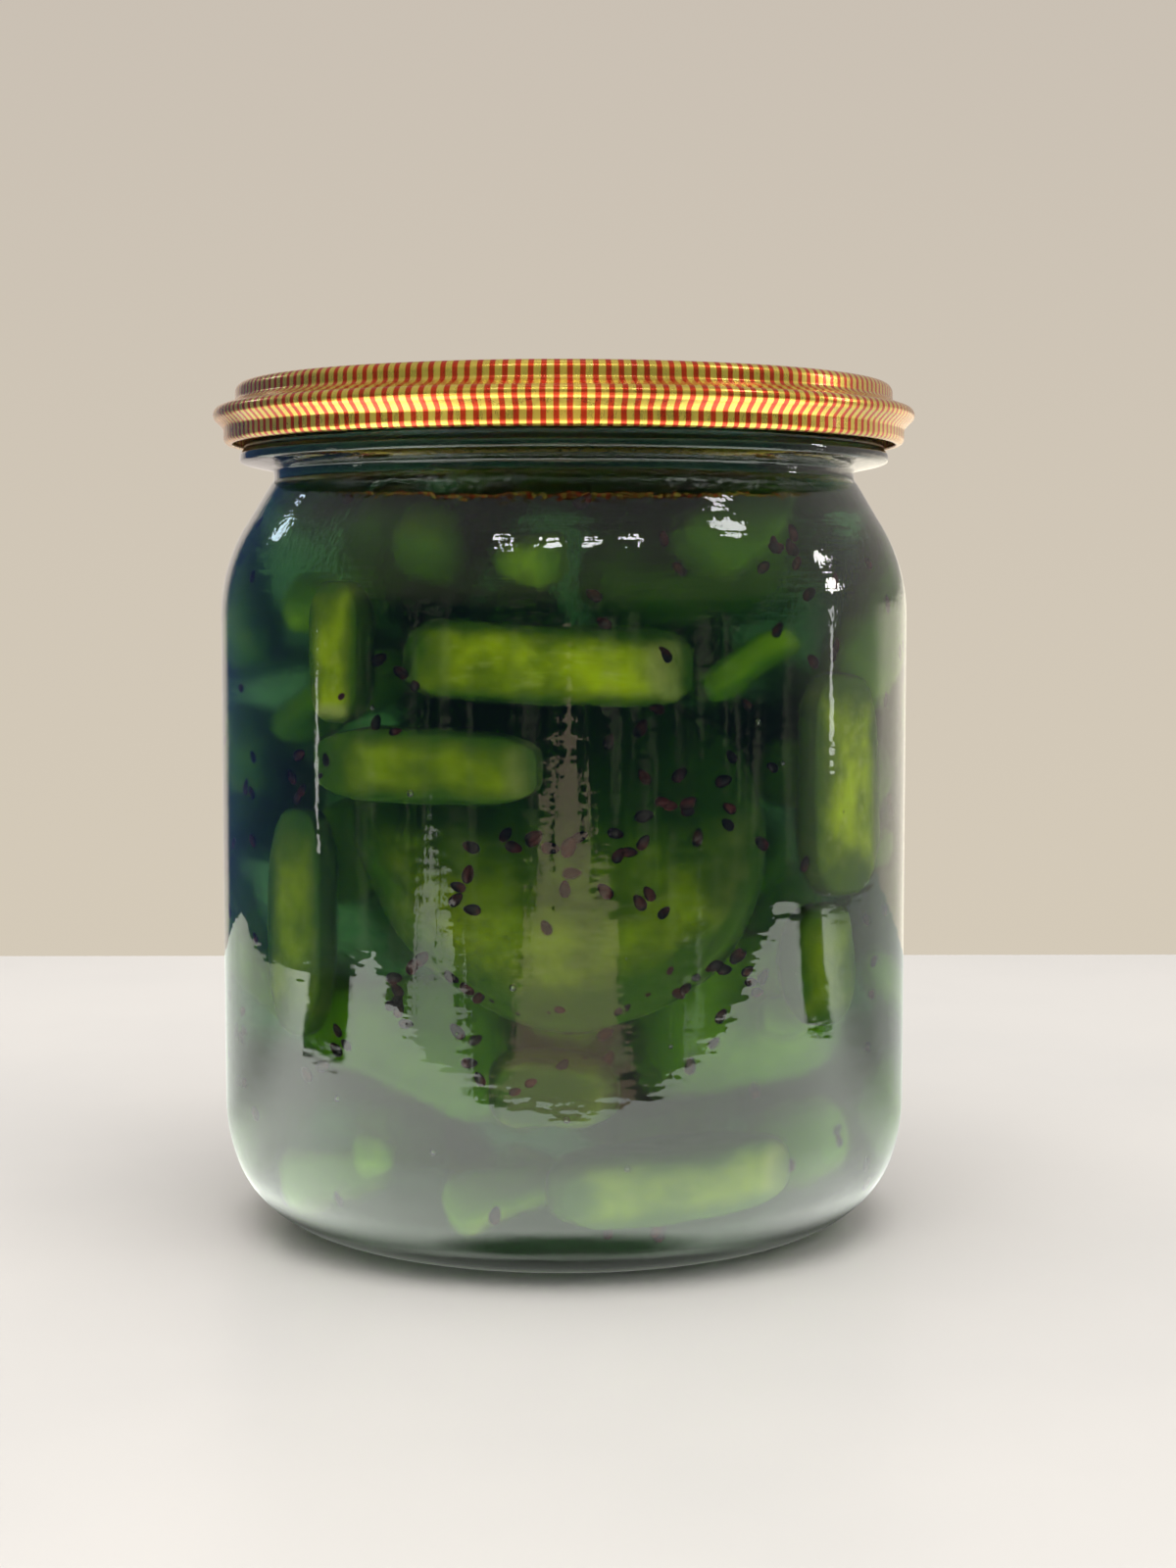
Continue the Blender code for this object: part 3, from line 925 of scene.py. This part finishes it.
def lid_outside():
    """The lid's outer profile, from the middle of its panel down to the turned-in edge."""
    panel = softened(
        [
            (0.0, LID_TOP - PANEL_DEPTH, 0),
            (PANEL_RADIUS, LID_TOP - PANEL_DEPTH, 0.6 * MM),
            (PANEL_RADIUS + PANEL_SLOPE_WIDTH, LID_TOP, 0.5 * MM),
            (BAND_RADIUS - BAND_CORNER_RADIUS, LID_TOP, 0),
        ]
    )
    corner_centre = (BAND_RADIUS - BAND_CORNER_RADIUS, LID_TOP - BAND_CORNER_RADIUS)
    corner = arc(corner_centre, BAND_CORNER_RADIUS, 90, 0, 8)
    nose_centre = (BEAD_RADIUS - BEAD_NOSE_RADIUS, BEAD_HEIGHT)
    nose = arc(nose_centre, BEAD_NOSE_RADIUS, 80, -60, 12)
    ledge = softened(
        [
            (*corner[-1], 0),
            (BAND_RADIUS, LEDGE_HEIGHT + LEDGE_FILLET, 0.25 * MM),
            (BAND_RADIUS + LEDGE_FILLET, LEDGE_HEIGHT, 0.25 * MM),
            (*nose[0], 0),
        ]
    )
    curl_centre = (SKIRT_RADIUS - EDGE_CURL_RADIUS, SKIRT_BOTTOM)
    curl = arc(curl_centre, EDGE_CURL_RADIUS, 0, -110, 8)
    skirt = softened([(*nose[-1], 0), (SKIRT_RADIUS, SKIRT_TOP, 0.3 * MM), (*curl[0], 0)])
    return panel[:-1] + corner + ledge[1:-1] + nose + skirt[1:-1] + curl


def from_axis(tree, apart):
    """The distance of a point from the jar's axis."""
    square = product(tree, apart["X"], apart["X"])
    return math_of(tree, "SQRT", math_of(tree, "MULTIPLY_ADD", apart["Y"], apart["Y"], square))


# Printed stripes that run down the side and over the rim, and end at the recessed top
stripes, given, put_out = new_group(
    "printed_stripes",
    [
        ("Place", "NodeSocketVector"),
        ("Count", "NodeSocketFloat"),
        ("Share", "NodeSocketFloat"),
        ("Ends at radius", "NodeSocketFloat"),
    ],
    [("Mask", "NodeSocketFloat")],
)
apart = split(stripes, given.outputs["Place"])
bearing = math_of(stripes, "ARCTAN2", apart["Y"], apart["X"])
wander = noise_of(stripes, given.outputs["Place"], 300.0, 1.0)
turns = math_of(stripes, "DIVIDE", bearing, math.tau)
count = product(stripes, turns, given.outputs["Count"])
count = math_of(stripes, "ADD", count, product(stripes, wander, 0.12))
phase = math_of(stripes, "FRACT", math_of(stripes, "ADD", count, 1000.0))
apart_from_middle = math_of(stripes, "ABSOLUTE", math_of(stripes, "SUBTRACT", phase, 0.5))
half_share = product(stripes, given.outputs["Share"], 0.5)
edge = math_of(stripes, "SUBTRACT", half_share, apart_from_middle)
mask = ranged(stripes, edge, -0.05, 0.05)
out = math_of(stripes, "GREATER_THAN", from_axis(stripes, apart), given.outputs["Ends at radius"])
stripes.links.new(product(stripes, mask, out), put_out.inputs["Mask"])

lacquer, tree, shader, place = new_material("gold_lacquer_red_stripes")
printed = placed(tree, stripes, place)
printed.inputs["Count"].default_value = STRIPES
printed.inputs["Share"].default_value = RED_SHARE
printed.inputs["Ends at radius"].default_value = PANEL_RADIUS + PANEL_SLOPE_WIDTH
patches = ranged(tree, noise_of(tree, place, 120.0, 3.0), 0.35, 0.7)
gold = mixed(tree, patches, (0.72, 0.54, 0.09), (0.61, 0.46, 0.075))
red = mixed(tree, patches, (0.58, 0.04, 0.004), (0.48, 0.034, 0.004))
tone = mixed(tree, printed.outputs["Mask"], gold, red)
rolling = noise_of(tree, place, 1400.0, 3.0, 0.6, (1, 1, 0.3))
finish(tree, shader, tone, ranged(tree, rolling, 0.3, 0.7, 0.24, 0.36))
shader.inputs["Metallic"].default_value = 0.8
shader.inputs["Coat Weight"].default_value = 0.4
shader.inputs["Coat Roughness"].default_value = 0.12
bumped(tree, shader, rolling, 0.35, 0.03 * MM)
lid_outer = drawn_out(lid_outside(), 4 * MM)
lid_inner = offset(lid_outer, SHEET)
lid_inner[0] = (0.0, lid_outer[0][1] - SHEET)
lid = turned("press_on_lid", lid_outer + lid_inner[::-1], (lacquer,), sides=360)
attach(lid, "root")
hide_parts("lid")


# Stage: a plain pale board that the jar stands on. It isn't part of the jar. What the glass mirrors
# of the board at a low angle is a painted glow, brighter than the board itself, as in a photograph
# that holds back the whites, with painted shadow at the foot and two painted dark gaps that run away
# from the jar.
BOARD_FRONT = -0.151
BOARD_BACK = 0.236
BOARD_LEFT = -0.27
BOARD_RIGHT = 0.38
PAINTED_GLOW_TONE = (3.5, 3.65, 3.35)
PAINTED_DARK_GAPS = ((-76, 8, 0.172), (83, 5.5, 0.195))
board_paint, tree, shader, place = new_material("pale_board")
worn = ranged(tree, noise_of(tree, place, 9.0, 4.0), 0.35, 0.7)
tree.links.new(mixed(tree, worn, (0.66, 0.645, 0.63), (0.62, 0.61, 0.60)), shader.inputs["Base Color"])
shader.inputs["Roughness"].default_value = 0.38
shader.inputs["Specular IOR Level"].default_value = 0.2
apart = split(tree, place)
radius = from_axis(tree, apart)
# Painted reflection: glossy rays see the board as a glow. It is painted dark under the foot, brighter
# just round it, strongest at a low angle and falling off to the right and to the back. Beside the jar
# it is darkened as painted shadow
out_of_foot = ranged(tree, radius, 0.0375, 0.045, 0.05, 1.0)
near_foot = ranged(tree, radius, 0.06, 0.10, 1.2, 1.0)
gloss = tree.nodes.new("ShaderNodeLayerWeight")
gloss.inputs["Blend"].default_value = 0.5
low_angle = ranged(tree, gloss.outputs["Facing"], 0.02, 0.12, 0.05, 1.0)
left_to_right = ranged(tree, apart["X"], -0.12, 0.12, 1.15, 0.92)
front_to_back = ranged(tree, apart["Y"], -0.03, 0.06, 1.0, 0.28)
beside_jar = ranged(tree, apart["Y"], -0.035, 0.0, 0.0, 0.5)
beside_jar = product(tree, beside_jar, ranged(tree, radius, 0.05, 0.11, 1.0, 0.0))
beside_jar = math_of(tree, "SUBTRACT", 1.0, beside_jar)
painted_glow_mask = product(tree, out_of_foot, near_foot, low_angle, left_to_right, front_to_back, beside_jar)


def aside_of(tree, bearing, middle_deg):
    """How far a bearing lies from a middle bearing, on either side."""
    return math_of(tree, "ABSOLUTE", math_of(tree, "SUBTRACT", bearing, radians(middle_deg)))


bearing = math_of(tree, "ARCTAN2", apart["X"], product(tree, apart["Y"], -1.0))
# Two painted dark gaps in the glow that run away from the jar
for bearing_deg, half_width_deg, from_radius in PAINTED_DARK_GAPS:
    aside = aside_of(tree, bearing, bearing_deg)
    beside = ranged(tree, aside, radians(half_width_deg - 1), radians(half_width_deg + 1))
    short = ranged(tree, radius, from_radius, from_radius + 0.015, 1.0, 0.0)
    painted_glow_mask = product(tree, painted_glow_mask, math_of(tree, "MAXIMUM", beside, short))
# Only glossy rays see the painted glow; all other rays see the board's paint
rays = tree.nodes.new("ShaderNodeLightPath")
glow = tree.nodes.new("ShaderNodeEmission")
tree.links.new(mixed(tree, painted_glow_mask, (0.03, 0.035, 0.025), PAINTED_GLOW_TONE), glow.inputs["Color"])
either = tree.nodes.new("ShaderNodeMixShader")
tree.links.new(rays.outputs["Is Glossy Ray"], either.inputs[0])
tree.links.new(shader.outputs[0], either.inputs[1])
tree.links.new(glow.outputs[0], either.inputs[2])
tree.links.new(either.outputs[0], tree.nodes["Material Output"].inputs["Surface"])
board_paint.cycles.emission_sampling = "NONE"
board_data = bpy.data.meshes.new("stage_board")
board_data.from_pydata(
    [
        (BOARD_LEFT, BOARD_FRONT, 0),
        (BOARD_RIGHT, BOARD_FRONT, 0),
        (BOARD_RIGHT, BOARD_BACK, 0),
        (BOARD_LEFT, BOARD_BACK, 0),
    ],
    [],
    [(0, 1, 2, 3)],
)
board_data.materials.append(board_paint)
board = bpy.data.objects.new("stage_board", board_data)
scene.collection.objects.link(board)


# Light: a broad soft lamp overhead and a weaker one from the right. A few small ceiling lamps are
# there only for what the glass shoulder and the lid mirror.
def soft_lamp(name, place, target, size, power, colour=(1, 1, 1), shape="SQUARE"):
    """An area lamp that points at a target."""
    lamp = bpy.data.lights.new(name, "AREA")
    lamp.shape = shape
    lamp.size = size
    lamp.energy = power
    lamp.color = colour
    made = bpy.data.objects.new(name, lamp)
    made.location = place
    made.rotation_mode = "QUATERNION"
    made.rotation_quaternion = (Vector(target) - Vector(place)).to_track_quat("-Z", "Y")
    scene.collection.objects.link(made)
    return made


SOFT_LAMPS = (
    ("soft_lamp_overhead", (0.0, -0.35, 1.3), (0, 0, 0.03), 1.1, 13.0, (1.0, 0.97, 0.92)),
    ("soft_lamp_right", (0.9, -0.5, 0.7), (0, 0, 0.05), 0.6, 2.0, (1.0, 0.98, 0.95)),
)
for name, spot, target, size, power, colour in SOFT_LAMPS:
    lamp = soft_lamp(name, spot, target, size, power, colour)
    lamp.visible_glossy = False
LAMP_DISTANCE = 1.1
CEILING_LAMPS = (
    (-23, 49, 0.09, 0.35, (1, 1, 1)),
    (-6, 49, 0.09, 0.35, (1, 1, 1)),
    (10.6, 49, 0.09, 0.35, (1, 1, 1)),
    (27.5, 49, 0.09, 0.35, (1, 1, 1)),
    (74, 50, 0.19, 1.0, (1, 1, 1)),
    (100, 16, 0.10, 0.45, (1, 0.97, 0.92)),
    (101, 26, 0.13, 0.6, (1, 0.98, 0.95)),
    (-127, 28, 0.13, 0.25, (0.7, 0.88, 1)),
)
for bearing_deg, rise_deg, size, power, colour in CEILING_LAMPS:
    bearing = radians(bearing_deg)
    rise = radians(rise_deg)
    level = math.cos(rise)
    spot = Vector((math.sin(bearing) * level, -math.cos(bearing) * level, math.sin(rise)))
    lamp = soft_lamp("ceiling_lamp", spot * LAMP_DISTANCE, (0, 0, 0.08), size, power, colour, "DISK")
    lamp.visible_diffuse = False
    lamp.visible_transmission = False


# Surround: an even pale backdrop for the camera. For the light that falls on the jar it is pale
# above and behind, and for what the glass mirrors it is dark low down in front, as a room is.
LIGHT_INTO_JAR = 1.6
STRIP_FOOT = -0.21
MIRRORED_LINES = ((-87, 0.9, -5.4, -1.9), (100, 1.2, -3.4, 2.0))
MIRRORED_STRIPS = (
    (-43, 16, -5.2, (2.3, 2.4, 2.2)),
    (1, 26, -2.4, (1.5, 1.2, 0.9)),
    (43, 6, -7.4, (1.2, 1.3, 1.1)),
)
world = bpy.data.worlds.new("pale_surround")
scene.world = world
world.cycles.sampling_method = "NONE"
world.use_nodes = True
tree = world.node_tree
way = tree.nodes.new("ShaderNodeTexCoord").outputs["Generated"]
apart = split(tree, way)
east, north, rise = apart["X"], apart["Y"], apart["Z"]
backdrop = mixed(tree, ranged(tree, rise, -0.2, 0.35), (0.66, 0.59, 0.48), (0.58, 0.52, 0.45))
behind = ranged(tree, north, 0.70, 0.86)
above = ranged(tree, rise, 0.25, 0.75)
fill = mixed(tree, ranged(tree, north, -0.9, 0.2), (0.42, 0.42, 0.42), (0.60, 0.57, 0.52))
fill = mixed(tree, above, fill, (0.95, 0.93, 0.90))
fill = mixed(tree, behind, fill, backdrop)
near_tone = mixed(tree, ranged(tree, rise, -0.21, -0.10), (0.50, 0.52, 0.42), (0.05, 0.09, 0.12))
near_tone = mixed(tree, ranged(tree, rise, 0.06, 0.30), near_tone, (0.34, 0.40, 0.27))
clutter = ranged(tree, noise_of(tree, way, 11.0, 3.0, 0.7), 0.50, 0.66)
near_tone = mixed(tree, clutter, near_tone, (0.40, 0.44, 0.36))
from_front = math_of(tree, "ARCTAN2", east, product(tree, north, -1.0))
ragged = noise_of(tree, way, 30.0, 4.0, 0.65)
ragged = product(tree, math_of(tree, "SUBTRACT", ragged, 0.5), 0.5)


def rise_at(degrees):
    """The height on the unit sphere round the jar at an angle above the level."""
    return math.sin(radians(degrees))


for bearing_deg, half_width_deg, top_deg, tone in MIRRORED_STRIPS:
    slope = radians(half_width_deg) / (rise_at(top_deg) - STRIP_FOOT)
    width = product(tree, math_of(tree, "SUBTRACT", rise_at(top_deg), rise), slope)
    aside = aside_of(tree, from_front, bearing_deg)
    shape = math_of(tree, "SUBTRACT", math_of(tree, "SUBTRACT", width, aside), ragged)
    near_tone = mixed(tree, ranged(tree, shape, -0.01, 0.01), near_tone, tone)
lines = []
for bearing_deg, width_deg, low_deg, high_deg in MIRRORED_LINES:
    aside = aside_of(tree, from_front, bearing_deg)
    line = ranged(tree, aside, radians(0.5 * width_deg), radians(width_deg), 1.0, 0.0)
    over = ranged(tree, rise, rise_at(low_deg - 0.5), rise_at(low_deg))
    under = ranged(tree, rise, rise_at(high_deg), rise_at(high_deg + 0.5), 1.0, 0.0)
    lines.append(product(tree, line, over, under))
side_tone = mixed(tree, ranged(tree, east, -0.3, 0.6), (0.05, 0.09, 0.20), (0.56, 0.52, 0.48))
right_wall = mixed(tree, ranged(tree, rise, 0.0, 0.07), (1.35, 1.25, 1.05), (0.48, 0.44, 0.41))
right_wall = mixed(tree, ranged(tree, rise, -0.40, -0.25), (0.48, 0.44, 0.41), right_wall)
back_right = mixed(tree, ranged(tree, north, 0.45, 0.70), side_tone, right_wall)
back_left = mixed(tree, ranged(tree, north, 0.86, 0.92), side_tone, (0.80, 0.72, 0.66))
mirror = mixed(tree, ranged(tree, east, -0.1, 0.1), back_left, back_right)
mirror = mixed(tree, ranged(tree, north, -0.35, 0.30), near_tone, mirror)
mirror = mixed(tree, above, mirror, (0.42, 0.41, 0.40))
mirror = mixed(tree, ranged(tree, rise, 0.989, 0.996), mirror, (1.7, 1.65, 1.6))
mirror = mixed(tree, math_of(tree, "MAXIMUM", *lines), mirror, (5.0, 5.0, 4.8))
rays = tree.nodes.new("ShaderNodeLightPath")
shaded = mixed(tree, ranged(tree, rise, 0.0, 0.03, 1.0, 0.40), (0.0, 0.0, 0.0), fill)
through = mixed(tree, behind, mixed(tree, LIGHT_INTO_JAR, (0.0, 0.0, 0.0), fill), shaded)
seen = mixed(tree, rays.outputs["Is Transmission Ray"], fill, through)
seen = mixed(tree, rays.outputs["Is Glossy Ray"], seen, mirror)
seen = mixed(tree, rays.outputs["Is Camera Ray"], seen, backdrop)
tree.links.new(seen, tree.nodes["Background"].inputs["Color"])
tree.nodes["Background"].inputs["Strength"].default_value = 1.0


# Camera: where the photograph was taken from, 33 cm from the jar's axis and 8 cm up, tilted down a
# little, with a lens of its angle of view
CAMERA_TILT_DEG = 4.27
CAMERA_TURN_DEG = 0.53
lens = bpy.data.cameras.new("camera")
lens.lens = 58.7475
lens.sensor_width = 36.0
lens.sensor_fit = "AUTO"
lens.clip_start = 0.01
camera = bpy.data.objects.new("camera", lens)
camera.location = (0.0, -0.3323, 0.0809)
camera.rotation_euler = (radians(90 - CAMERA_TILT_DEG), 0.0, radians(-CAMERA_TURN_DEG))
scene.collection.objects.link(camera)
scene.camera = camera
scene.view_settings.view_transform = "Standard"
scene.cycles.use_denoising = True
scene.cycles.max_bounces = 9
scene.cycles.transmission_bounces = 9
scene.cycles.sample_clamp_indirect = 4.0
scene.cycles.adaptive_threshold = 0.10
